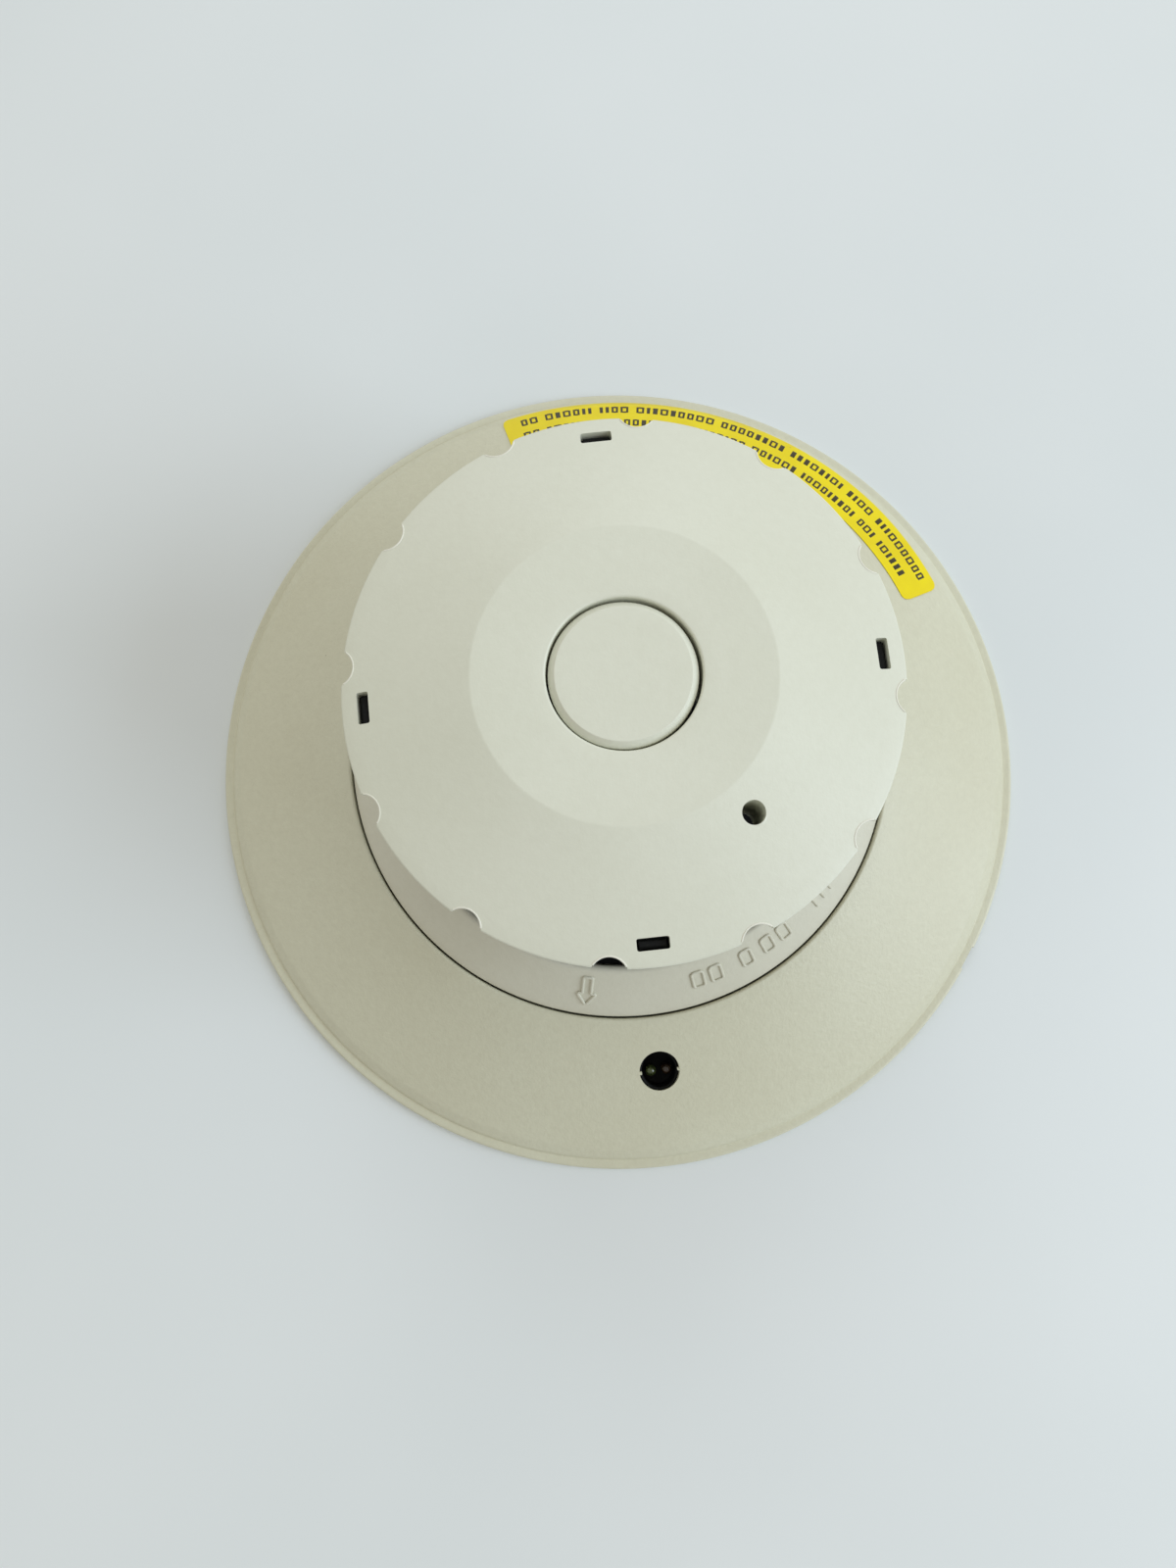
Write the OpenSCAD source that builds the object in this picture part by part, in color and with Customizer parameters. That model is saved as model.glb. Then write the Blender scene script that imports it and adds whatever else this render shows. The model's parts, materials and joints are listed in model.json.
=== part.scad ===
// Commercial smoke detector: twist-lock head on a screw-down mounting base.
// Frame: origin at the centre of the base's back face, +Z out of the ceiling towards the cap.
// All sizes in millimetres.

/* [Flange] */
// Outside diameter of the flange
flange_d = 152.4; // [150:0.1:154]
// Height of the flange's upper edge above the mounting face
seam_z = 16.7; // [16.4:0.1:17]
// Wall thickness of the moulded housings
wall = 2; // [1.8:0.1:2.2]
// Diameter of the lamp window in the flange
lamp_window_d = 7.1; // [6:0.1:7.4]

/* [Cover] */
// Outside diameter of the chamber cover at the seam
cover_d = 96.1; // [95.6:0.1:96.2]
// Number of upright posts between the smoke inlets
post_count = 24; // [24:2:30]
// Width of one post
post_w = 2.2; // [1.6:0.1:2.6]

/* [Cap] */
// Outside diameter of the cap
cap_d = 79.2; // [78:0.1:80]
// Height of the flat middle of the cap
cap_top_z = 66.8; // [66:0.1:67.2]
// Height of the cap's upper edge
cap_edge_z = 61.6; // [61:0.1:62]
// Number of half-round notches in the cap's edge
notch_count = 12; // [10:1:14]
// Radius of one notch
notch_r = 2.7; // [2:0.1:3]

/* [Test button] */
// Diameter of the button
button_d = 20.6; // [18:0.1:20.8]
// Travel of the button
button_travel = 1.5; // [1:0.1:1.8]

/* [Base] */
// Circle of the four fixing screws: 3 9/32 inch device boxes
fixing_pcd = 83.3; // [80:0.1:84]
// Diameter of one fixing hole
fixing_hole_d = 4.5; // [4:0.1:4.8]
// Diameter of the cable entry
cable_entry_d = 34; // [28:1:36]

/* [Hidden] */
$fn = 96;
eps = 0.01;
flange_r = flange_d / 2;
seam_r = 48.4;
crease_r = 74.5;
crease_z = 1.95;
roll_r = 72.4;
foot_z = 0.3;
cone_top_r = seam_r + 0.3;
cone_slope = (seam_z - 3.05) / (crease_r - cone_top_r);
cover_r = cover_d / 2;
cap_r = cap_d / 2;
plateau_r = 21;
button_hole_r = 10.7;
button_r = button_d / 2;
button_face_r = 9.4;
// Base
base_r = 53;
base_plate_z = 2.5;
base_wall_z = 7.6;
ledge_r = 48.4;
ledge_z = 6;
bayonet_count = 4;
// Head
ring_r = 48;
ring_in_r = 46;
ring_z = 3.6;
lug_r = 50.6;
back_z = 8.2;
back_top_z = 9.8;
shelf_z = 11.3;
boss_ring_r = 42.8;
board_r = 40.4;
board_z = 11.4;
board_top_z = 13;
board_screw_r = 30;
// Cover
inlet_edge_r = 39.3;
inlet_edge_z = 22.8;
ledge_top_z = 15;
floor_z = 16.4;
floor_r = 32.5;
post_in_r = 35.8;
post_out_r = 37.8;
ring_top_z = 59.4;
slot_r = 36.4;
finger_top_z = 61.6;
screen_r = 33.9;
screen_t = 0.6;
// Lamp window
lamp_angle = -82.9;
lamp_r = 58.2;
lamp_z = 9.6;
arrow_angle = lamp_angle - 14.4;
lead_gap = 4.1;
// Chamber
chamber_r = 28;
chamber_top_z = 40;
// Probe hole
probe_r = 25.6;
probe_angle = -47.6;
probe_hole_r = 1.65;
// Label
label_from = 28;
label_to = 108.4;
label_in_r = 64.8;
label_out_r = 73.4;

ivory = [0.86, 0.86, 0.79];
cream = [0.8, 0.79, 0.7];
steel = [0.75, 0.75, 0.76];
green = [0.1, 0.35, 0.2];

// A ring of rectangular section, r1 inside and r2 outside, from z1 to z2.
module ring(r1, r2, z1, z2) {
    translate([0, 0, z1])
        difference() {
            cylinder(r = r2, h = z2 - z1);
            translate([0, 0, -1]) cylinder(r = r1, h = z2 - z1 + 2);
        }
}

// Part of a ring between two angles.
module arc_block(r1, r2, z1, z2, a1, a2) {
    rotate([0, 0, a1])
        rotate_extrude(angle = a2 - a1)
            translate([r1, z1]) square([r2 - r1, z2 - z1]);
}

// Children turned to count equal places round the axis, the first at angle a0.
module around(count, a0 = 0) {
    for (i = [0 : count - 1])
        rotate([0, 0, a0 + i * 360 / count]) children();
}

// A pan-head screw standing on its shank, head upwards from z.
module screw(shank_r, head_r, head_h, length) {
    translate([0, 0, -length]) cylinder(r = shank_r, h = length);
    difference() {
        cylinder(r = head_r, h = head_h);
        translate([-head_r * 0.6, -0.25, head_h * 0.5]) cube([head_r * 1.2, 0.5, head_h]);
        translate([-0.25, -head_r * 0.6, head_h * 0.5]) cube([0.5, head_r * 1.2, head_h]);
    }
}

// Places the children in the frame of the lamp window: Z along its upright bore.
module at_lamp() {
    rotate([0, 0, lamp_angle])
        translate([lamp_r, 0, lamp_z]) children();
}

// Height of the flange's outer cone at radius r.
function cone_z(r) = seam_z - (r - cone_top_r) * cone_slope;
function roll_z(r) = cone_z(roll_r) - (r - roll_r) * 0.85;

// ---- Base ----
module mounting_base() {
    color(ivory)
    difference() {
        union() {
            rotate([0, 0, 22])
                rotate_extrude()
                    polygon([
                        [0, 0], [base_r, 0], [base_r, base_wall_z], [base_r - 2, base_wall_z],
                        [base_r - 2, base_plate_z], [0, base_plate_z]
                    ]);
            around(bayonet_count) {
                arc_block(ledge_r, base_r - 1, ledge_z, base_wall_z, -14, 12);
                arc_block(ledge_r + 0.1, base_r - 0.8, base_plate_z - 1, ledge_z + 0.8, -13.8, -12);
                arc_block(ledge_r, base_r - 1, base_plate_z - 1, base_wall_z, 35, 37);
            }
            cylinder(r = cable_entry_d / 2 + 1.6, h = 4.5);
            around(4, 45)
                translate([29, 0, 1]) cylinder(r = 4, h = base_plate_z);
        }
        translate([0, 0, -1]) cylinder(r = cable_entry_d / 2, h = 8);
        around(4)
            translate([fixing_pcd / 2, 0, -1]) cylinder(d = fixing_hole_d, h = 6);
        around(4, 45)
            translate([29, 0, 0.8]) cylinder(r = 1.5, h = 6);
    }
}

module terminal_plates() {
    color(steel)
    around(4, 45)
        difference() {
            translate([24.6, -3.6, base_plate_z + 1]) cube([16, 7.2, 0.8]);
            translate([29, 0, 0]) cylinder(r = 1.55, h = 8);
        }
}

module terminal_screws() {
    color(steel)
    around(4, 45)
        translate([29, 0, base_plate_z + 1.8]) screw(1.45, 2.6, 1.4, 3.2);
}

// Each clip is a sprung strip standing on the outer end of its terminal plate.
module contact_clips() {
    color([0.8, 0.7, 0.4])
    around(4, 45) {
        translate([34.5, -2.2, base_plate_z + 1.8]) cube([6, 4.4, 0.5]);
        translate([40, -2.2, base_plate_z + 1.8]) cube([0.5, 4.4, 2.2]);
        translate([36.5, -2.2, base_plate_z + 3.5]) cube([4, 4.4, 0.5]);
    }
}

// ---- Head ----
module flange_housing() {
    color(cream)
    difference() {
        union() {
            rotate_extrude($fn = 180)
                polygon([
                    [seam_r, shelf_z - 1.5], [seam_r, seam_z - 0.3], [cone_top_r, seam_z],
                    [roll_r, cone_z(roll_r)], [crease_r - 1.2, roll_z(crease_r - 1.2)],
                    [crease_r - 0.5, roll_z(crease_r - 0.5)], [crease_r - 0.1, crease_z + 0.3],
                    [crease_r, crease_z], [flange_r - 0.6, crease_z - 0.05],
                    [flange_r - 0.2, crease_z - 0.2], [flange_r, crease_z - 0.6],
                    [flange_r, foot_z], [flange_r - 1.7, foot_z],
                    [flange_r - 1.7, 1], [crease_r - 2.9, 1.2],
                    [seam_r + wall, cone_z(seam_r + wall) - wall * 1.15],
                    [seam_r + wall, back_top_z], [38, back_top_z], [38, shelf_z],
                    [seam_r - eps, shelf_z]
                ]);
            around(4, 20)
                translate([boss_ring_r, 0, shelf_z - eps]) cylinder(r = 1.9, h = 3.7);
            around(4, 55) {
                arc_block(43.7, 44.6, shelf_z - eps, 14.9, -6, 6);
                arc_block(43.7, 45.7, 13.7, 14.9, -6, 6);
            }
        }
        around(4, 20)
            translate([boss_ring_r, 0, 9]) cylinder(r = 1, h = 5);
        at_lamp() translate([0, 0, -6]) cylinder(d = lamp_window_d, h = 14);
        rotate([0, 0, -30])
            translate([flange_r - 1.2, -2.65, foot_z - 1]) cube([4, 5.3, 2]);
        rotate([0, 0, -30])
            translate([flange_r - 0.45, -2.3, foot_z - 1]) cube([4, 4.6, 4]);
        // Channel for the lamp leads, across the shelf and under the collar.
        rotate([0, 0, lamp_angle])
            translate([37.5, -lead_gap - 1, 9]) cube([14, 2 * lead_gap + 2, 2.4]);
    }
}

// A printed film wrapped on the flange's cone.
module warning_label() {
    color("gold")
    rotate([0, 0, label_from])
        rotate_extrude(angle = label_to - label_from, $fn = 180)
            polygon([
                [label_in_r, cone_z(label_in_r) + 0.04], [label_in_r, cone_z(label_in_r) + 0.19],
                [roll_r, cone_z(roll_r) + 0.19], [label_out_r, roll_z(label_out_r) + 0.19],
                [label_out_r, roll_z(label_out_r) + 0.04], [roll_r, cone_z(roll_r) + 0.04]
            ]);
}

module back_plate() {
    color(cream)
    difference() {
        union() {
            translate([0, 0, back_z]) cylinder(r = 52, h = back_top_z - back_z);
            ring(ring_in_r, ring_r, ring_z, back_z + eps);
            around(bayonet_count)
                arc_block(ring_r - 0.2, lug_r, 3.8, 5.6, -11.4, 9);
            around(3, 90)
                translate([board_screw_r, 0, back_top_z - eps]) cylinder(r = 2.6, h = board_z - back_top_z);
        }
        around(4, 20)
            translate([boss_ring_r, 0, 5]) cylinder(r = 1.5, h = 8);
        around(3, 90)
            translate([board_screw_r, 0, 8.6]) cylinder(r = 1.2, h = 4);
        around(4, 45)
            translate([33, -2.6, 7]) cube([4.4, 5.2, 4]);
    }
}

module back_plate_screws() {
    color(steel)
    around(4, 20)
        translate([boss_ring_r, 0, back_z])
            rotate([180, 0, 0]) screw(0.95, 2.4, 1.3, 5);
}

// A blade under each slot of the back plate touches the clip of the base.
module contact_blades() {
    color([0.8, 0.7, 0.4])
    around(4, 45) {
        translate([34.4, -2.2, 7.1]) cube([0.6, 4.4, 4.2]);
        translate([34.4, -2.2, 6.8]) cube([5, 4.4, 0.5]);
    }
}

module circuit_board() {
    color(green)
    difference() {
        translate([0, 0, board_z]) cylinder(r = board_r, h = board_top_z - board_z);
        around(3, 90)
            translate([board_screw_r, 0, 10]) cylinder(r = 1.25, h = 5);
        around(4, 20)
            translate([boss_ring_r, 0, 10]) cylinder(r = 2.6, h = 5);
    }
}

module board_screws() {
    color(steel)
    around(3, 90)
        translate([board_screw_r, 0, board_top_z]) screw(1.15, 2.2, 1.2, 4);
}

module microcontroller() {
    color([0.1, 0.1, 0.1])
    rotate([0, 0, 180])
        translate([27.5, -3.5, board_top_z]) {
            cube([4, 7, 1.1]);
            for (y = [0.5 : 1.2 : 6.5])
                translate([-0.5, y, 0]) cube([5, 0.4, 0.3]);
        }
}

module capacitors() {
    color([0.15, 0.15, 0.2])
    for (a = [0, 60])
        rotate([0, 0, a])
            translate([30.2, 0, board_top_z]) cylinder(r = 1.8, h = 2.2);
}

module line_filter() {
    color([0.25, 0.25, 0.25])
    rotate([0, 0, 120])
        translate([28.6, -3, board_top_z]) cube([3.4, 6, 2.2]);
}

module shield_can() {
    color(steel)
    difference() {
        translate([-26, -11, board_top_z]) cube([9, 7, 4]);
        translate([-25.6, -10.6, board_top_z - 1]) cube([8.2, 6.2, 4.6]);
    }
}

// Floor of the optical chamber, standing on the board.
module chamber_base() {
    color([0.12, 0.12, 0.12])
    difference() {
        union() {
            translate([0, 0, 18]) cylinder(r = chamber_r, h = 2);
            ring(chamber_r - 1.6, chamber_r, 18, 21);
            around(4, 45)
                translate([25, 0, board_top_z]) cylinder(r = 1.6, h = 5.2);
        }
        rotate([0, 0, 20]) translate([-15, 0, 17]) cylinder(r = 3.1, h = 4);
        rotate([0, 0, 150]) translate([-15, 0, 17]) cylinder(r = 3.1, h = 4);
    }
}

// Slanted light baffles let smoke in and keep light out.
module labyrinth() {
    color([0.1, 0.1, 0.1]) {
        ring(20, 26, 20, 21);
        around(24)
            translate([23, 0, 20.9])
                rotate([0, 0, 35]) translate([-3, -0.5, 0]) cube([5.6, 1, chamber_top_z - 21]);
    }
}

module chamber_lid() {
    color([0.12, 0.12, 0.12])
    difference() {
        union() {
            translate([0, 0, chamber_top_z - 0.1]) cylinder(r = chamber_r, h = 1.8);
            ring(chamber_r - 1.4, chamber_r, 37, chamber_top_z);
        }
        translate([0, 0, 36]) cylinder(r = 3.4, h = 8);
    }
}

// An optical part: a domed body on two legs, tilted towards the chamber's middle.
module optical_part(angle) {
    rotate([0, 0, angle])
        translate([-15, 0, board_top_z]) {
            cylinder(r = 2.9, h = 1);
            translate([0, 0, 0.9]) cylinder(r = 2.5, h = 8.1);
            translate([0, 0, 9]) sphere(r = 2.5);
        }
}

module infrared_emitter() {
    color([0.3, 0.2, 0.4]) optical_part(20);
}

module photodiode() {
    color([0.15, 0.15, 0.25]) optical_part(150);
}

// Cup behind the lamp window, with the sleeve that lines the hole.
module lamp_bezel() {
    color([0.2, 0.2, 0.2])
    at_lamp()
        difference() {
            translate([0, 0, -6.2]) cylinder(r = lamp_window_d / 2 - 0.02, h = 6.2);
            translate([0, 0, -5.2]) cylinder(r = lamp_window_d / 2 - 0.55, h = 8);
            for (y = [-1.45, 1.45])
                translate([0, y, -7]) cylinder(r = 1.05, h = 4);
        }
}

// A small lamp with a domed top.
module lamp(y) {
    at_lamp()
        translate([0, y, 0]) {
            translate([0, 0, -6.6]) cylinder(r = 1, h = 4.9);
            translate([0, 0, -1.7]) sphere(r = 1);
        }
}

module green_lamp() {
    color([0.6, 0.8, 0.6]) lamp(-1.45);
}

module red_lamp() {
    color([0.8, 0.4, 0.4]) lamp(1.45);
}

module lamp_board() {
    color(green)
    at_lamp() translate([-2.6, -4.8, -7.4]) cube([5.2, 9.6, 0.8]);
}

// Two insulated leads run over the back plate from the main board to the lamp board.
module lamp_leads() {
    start_x = 39;
    drop_x = 54.4;
    run_z = 10.35;
    wire_r = 0.4;
    end_z = lamp_z - 6.6 + wire_r + 0.05;
    color([0.7, 0.1, 0.1])
    rotate([0, 0, lamp_angle])
        for (y = [-lead_gap, lead_gap])
            translate([0, y, 0]) {
                translate([start_x - wire_r, 0, run_z]) rotate([0, 90, 0])
                    cylinder(r = wire_r, h = drop_x - start_x + 2 * wire_r);
                translate([start_x, 0, run_z]) cylinder(r = wire_r - 0.04, h = board_z - run_z);
                translate([drop_x, 0, end_z]) cylinder(r = wire_r - 0.04, h = run_z - end_z);
                translate([drop_x - wire_r, 0, end_z]) rotate([0, 90, 0]) cylinder(r = wire_r, h = 2.2 + wire_r);
            }
}

// ---- Cover ----
module chamber_cover() {
    color(cream) {
        rotate_extrude($fn = 180)
            polygon([
                [cover_r, 12], [cover_r, seam_z - 0.5], [cover_r - 0.15, seam_z - 0.1],
                [cover_r - 0.5, seam_z + 0.2], [inlet_edge_r + 0.9, inlet_edge_z],
                [inlet_edge_r + 0.4, inlet_edge_z + 0.1], [inlet_edge_r + 0.08, inlet_edge_z - 0.2],
                [inlet_edge_r, inlet_edge_z - 0.6], [inlet_edge_r, ledge_top_z], [38, ledge_top_z],
                [38, ledge_top_z - 0.9], [inlet_edge_r + 1.3, ledge_top_z - 0.9],
                [inlet_edge_r + 1.3, inlet_edge_z - 2.2], [cover_r - 1.5, seam_z - 1],
                [cover_r - 1.5, 12]
            ]);
        around(4, 55)
            arc_block(45.1, cover_r - 1.4, 12, 13.3, -6, 6);
    }
}

// Black inlet cage: a floor that sits in the shoulder, upright posts, and a top ring
// with four snap fingers that reach up into the cap's slots.
module inlet_cage() {
    color([0.1, 0.1, 0.1]) {
        rotate([0, 0, 22]) ring(floor_r, inlet_edge_r - 0.2, ledge_top_z, floor_z);
        around(post_count, 6 + 180 / post_count)
            translate([post_in_r + 0.2, -post_w / 2, floor_z - 0.6])
                cube([post_out_r - post_in_r - 0.4, post_w, ring_top_z - floor_z]);
        rotate([0, 0, 22]) ring(post_in_r, post_out_r + 0.1, ring_top_z - 1.6, ring_top_z);
        around(4, 6) {
            translate([slot_r - 0.45, -1.9, ring_top_z - 0.8]) cube([0.8, 3.8, finger_top_z - ring_top_z + 0.8]);
            translate([slot_r - 0.1, -1.9, finger_top_z - 0.7]) cube([0.75, 3.8, 0.7]);
        }
    }
}

// Arrow that points to the lamp window when the cover is turned to its release mark.
module direction_arrow() {
    slope = (inlet_edge_z - seam_z - 0.2) / (cover_r - inlet_edge_r - 1.4);
    color(cream)
    rotate([0, 0, arrow_angle])
        translate([41.6, 0, inlet_edge_z - (41.6 - inlet_edge_r - 0.9) * slope])
            rotate([0, atan(slope), 0])
                translate([0, 0, -0.1])
                    linear_extrude(0.4)
                        polygon([[0, -0.8], [3.6, -0.8], [3.6, -1.7], [6.2, 0], [3.6, 1.7], [3.6, 0.8], [0, 0.8]]);
}

// Plain raised frames and bars in place of lettering.
module raised_marks() {
    slope = (inlet_edge_z - seam_z - 0.2) / (cover_r - inlet_edge_r - 1.4);
    color(cream)
    for (a = [-72, -67.7, -60, -54.3, -49.7, -40, -37.5, -35])
        rotate([0, 0, a])
            translate([42.3, 0, inlet_edge_z - (42.3 - inlet_edge_r - 0.9) * slope])
                rotate([0, atan(slope), 0])
                    if (a < -45)
                        difference() {
                            translate([0, -1.2, -0.1]) cube([3.7, 2.4, 0.35]);
                            translate([0.4, -0.8, -1]) cube([2.9, 1.6, 2]);
                        }
                    else
                        translate([0, -0.25, -0.1]) cube([3.7, 0.5, 0.35]);
}

// Fine mesh drum, here as its closed envelope, between the floor and the cap.
module insect_screen() {
    color([0.25, 0.25, 0.25])
    ring(screen_r - screen_t, screen_r, floor_z, 56.8);
}

module cap_disc() {
    color(ivory)
    difference() {
        union() {
            rotate_extrude($fn = 180)
                polygon([
                    [cap_r - 0.25, cap_edge_z - 1.7], [cap_r, cap_edge_z - 1.45],
                    [cap_r, cap_edge_z - 0.3], [cap_r - 0.3, cap_edge_z],
                    [plateau_r + 0.6, cap_top_z - 0.22], [plateau_r - 0.6, cap_top_z],
                    [button_hole_r + 0.3, cap_top_z], [button_hole_r, cap_top_z - 0.3],
                    [button_hole_r, 56], [button_hole_r + 1.6, 56], [button_hole_r + 1.6, cap_top_z - 2],
                    [plateau_r - 0.6, cap_top_z - 2], [36.6, cap_edge_z - 1.4], [37.6, cap_edge_z - 1.7]
                ]);
            ring(32.2, 34, 57, cap_edge_z);
            around(4, 51)
                translate([post_in_r, -3, ring_top_z]) cube([1.6, 6, 1.6]);
            rotate([0, 0, probe_angle])
                translate([probe_r, 0, 52]) cylinder(r = probe_hole_r + 1.1, h = 12.2);
        }
        around(notch_count, -3)
            translate([37.9 + notch_r, 0, 55]) cylinder(r = notch_r, h = 12);
        // Slots for the cage's fingers, narrower below so that a ledge holds each barb.
        around(4, 6) {
            translate([slot_r - 0.85, -2.25, 57.6]) cube([1.45, 4.5, 10]);
            translate([slot_r - 0.85, -2.25, finger_top_z - 0.9]) cube([1.7, 4.5, 10]);
        }
        rotate([0, 0, probe_angle])
            translate([probe_r, 0, 50]) cylinder(r = probe_hole_r, h = 20);
    }
    // Guide for the plunger rod, on three arms under the button.
    color(ivory) {
        ring(2.3, 4.2, 56, 57.6);
        around(3, 30)
            translate([4, -1, 56]) cube([button_hole_r - 3.5, 2, 1.6]);
    }
}

// ---- Test button ----
module test_button() {
    color(ivory)
    rotate_extrude()
        polygon([
            [0, cap_top_z + 0.1], [button_face_r, cap_top_z + 0.1],
            [button_r - 0.1, cap_top_z - 0.7], [button_r, cap_top_z - 0.95],
            [button_r, 60.2], [button_r - 1.4, 60.2], [button_r - 1.4, cap_top_z - 2],
            [2.6, cap_top_z - 2], [2.6, 62.6], [0, 62.6]
        ]);
}

// Rod that dips its flat vane into the optical chamber when the button is pressed.
module plunger_rod() {
    color([0.2, 0.2, 0.2]) {
        difference() {
            translate([0, 0, 43]) cylinder(r = 2, h = 19.6);
            ring(1.6, 3, 55, 55.9);
        }
        translate([-1.6, -0.5, 39]) cube([3.2, 1, 4.2]);
    }
}

module retaining_ring() {
    color(steel)
    rotate([0, 0, 20])
        rotate_extrude(angle = 300)
            translate([1.62, 55.1]) square([1.8, 0.7]);
}

// Compression spring: a round wire of 0.5 mm swept along a helix.
module return_spring() {
    turns = 4;
    steps = 24;
    coil_r = 3.3;
    wire_r = 0.25;
    z1 = 57.9;
    z2 = 64.5;
    sides = 6;
    last = turns * steps;
    points = [
        for (i = [0 : last], j = [0 : sides - 1])
            let (
                a = 360 * i / steps,
                b = 360 * j / sides,
                r = coil_r + wire_r * cos(b),
                z = z1 + (z2 - z1) * i / last + wire_r * sin(b)
            ) [r * cos(a), r * sin(a), z]
    ];
    walls = [
        for (i = [0 : last - 1], j = [0 : sides - 1])
            let (k = (j + 1) % sides)
                [i * sides + j, i * sides + k, (i + 1) * sides + k, (i + 1) * sides + j]
    ];
    start_cap = [[for (j = [sides - 1 : -1 : 0]) j]];
    end_cap = [[for (j = [0 : sides - 1]) last * sides + j]];
    color(steel) polyhedron(points = points, faces = concat(walls, start_cap, end_cap));
}

mounting_base();
contact_clips();
terminal_plates();
terminal_screws();
flange_housing();
warning_label();
back_plate();
back_plate_screws();
contact_blades();
circuit_board();
board_screws();
microcontroller();
capacitors();
line_filter();
shield_can();
chamber_base();
labyrinth();
chamber_lid();
infrared_emitter();
photodiode();
lamp_bezel();
green_lamp();
red_lamp();
lamp_board();
lamp_leads();
chamber_cover();
inlet_cage();
direction_arrow();
raised_marks();
insect_screen();
cap_disc();
test_button();
plunger_rod();
retaining_ring();
return_spring();
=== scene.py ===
import json
import math

import bmesh
import bpy
import numpy as np
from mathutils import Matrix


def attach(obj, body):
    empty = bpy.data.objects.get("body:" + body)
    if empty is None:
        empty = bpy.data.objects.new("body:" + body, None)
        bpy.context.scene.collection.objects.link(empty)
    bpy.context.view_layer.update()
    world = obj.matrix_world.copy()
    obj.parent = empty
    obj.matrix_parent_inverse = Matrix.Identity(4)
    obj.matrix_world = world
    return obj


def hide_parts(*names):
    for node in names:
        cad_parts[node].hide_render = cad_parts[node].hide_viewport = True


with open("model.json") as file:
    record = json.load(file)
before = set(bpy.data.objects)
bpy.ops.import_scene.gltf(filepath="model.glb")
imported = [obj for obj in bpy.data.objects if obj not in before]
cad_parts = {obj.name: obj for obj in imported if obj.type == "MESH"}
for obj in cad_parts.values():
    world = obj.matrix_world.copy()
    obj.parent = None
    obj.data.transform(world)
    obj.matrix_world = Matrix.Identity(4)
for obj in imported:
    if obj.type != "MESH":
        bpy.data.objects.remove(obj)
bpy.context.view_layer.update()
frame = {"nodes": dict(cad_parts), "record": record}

# A ceiling smoke detector lying on its back. Lengths below are millimetres; MM turns them into metres.
MM = 0.001
TAU = 2 * math.pi

# Flange and its seam
FLANGE_R = 76.2
CREASE_R = 74.5
SEAM_R = 48.4
SEAM_Z = 16.7
CONE_TOP_R = 48.7
ROLL_R = 72.4
CREASE_Z = 1.95
RIM_IN_R = 74.5
CONE_SLOPE = (SEAM_Z - 3.05) / (CREASE_R - CONE_TOP_R)
FOOT_Z = 0.3
COLLAR_FOOT_Z = 9.8
SHELF_TOP_Z = 11.3
RIBS = 16
RIB_AT_LAMP = 12
PRY_ANGLE = -30

# Chamber cover
COVER_R = 48.05
INLET_R = 39.3
SHOULDER_TOP = (40.2, 22.8)
SHOULDER_FOOT = (47.4, 16.9)
SHOULDER_SLOPE = (SHOULDER_TOP[1] - SHOULDER_FOOT[1]) / (SHOULDER_FOOT[0] - SHOULDER_TOP[0])
LEDGE_Z = 15.0
GUTTER_Z = 16.4
POSTS = 24
POST_R = (36.0, 37.6)
RING_TOP_Z = 59.4

# Cap and button
CAP_R = 39.6
CAP_EDGE_Z = 61.6
CAP_TOP_Z = 66.8
PLATEAU_R = 21.0
NOTCH_R = 2.7
NOTCH_APEX_R = 37.9
NOTCHES = 12
NOTCH_START = -3
SLOT_R = 36.4
SLOT_SIZE = (1.7, 4.5)
SLOT_ANGLES = (6, 96, 186, 276)
PROBE = (25.6, -47.6)
PROBE_R = 1.65
BUTTON_HOLE_R = 10.7
BUTTON_R = 10.3
BUTTON_FACE_R = 9.4

# Lamp window
LAMP_ANGLE = -82.9
LAMP_R = 58.2
LAMP_Z = 9.6
WINDOW_R = 3.55
ARROW_ANGLE = LAMP_ANGLE - 14.4
LAMP_Y = 1.45

# Label, arrow and marks
LABEL_OUT_R = 73.7
LABEL_WIDTH = 8.9
LABEL_MIDDLE = 82
LABEL_BOW = 0.0009
MARK_START_R = 42.3
BEAD_LIFT = 0.08
FRAME_ANGLES = (-72, -67.7, -60, -54.3, -49.7)
BAR_ANGLES = (-40, -37.5, -35)


# ---------------------------------------------------------------- surfaces

def piece_from(name, points, faces, smooth=35):
    """A mesh object from points in millimetres and faces as index rows; edges sharper than `smooth` stay crisp."""
    mesh = bpy.data.meshes.new(name)
    mesh.from_pydata(np.asarray(points).reshape(-1, 3) * MM, [], [tuple(f) for f in faces])
    work = bmesh.new()
    work.from_mesh(mesh)
    bmesh.ops.remove_doubles(work, verts=work.verts, dist=1e-7)
    bmesh.ops.dissolve_degenerate(work, edges=work.edges, dist=1e-8)
    bmesh.ops.recalc_face_normals(work, faces=work.faces)
    work.to_mesh(mesh)
    work.free()
    mesh.shade_smooth()
    mesh.set_sharp_from_angle(angle=math.radians(smooth))
    piece = bpy.data.objects.new(name, mesh)
    bpy.context.scene.collection.objects.link(piece)
    return piece


def grid_faces(rows, columns, wrap_rows=False, wrap_columns=False, first=0):
    """Quads of a grid of points numbered row by row, joined end to end where it wraps."""
    i = np.arange(rows if wrap_rows else rows - 1)[:, None]
    j = np.arange(columns if wrap_columns else columns - 1)[None, :]
    i2, j2 = (i + 1) % rows, (j + 1) % columns
    quads = np.stack([i * columns + j, i * columns + j2, i2 * columns + j2, i2 * columns + j], -1)
    return quads.reshape(-1, 4) + first


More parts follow.
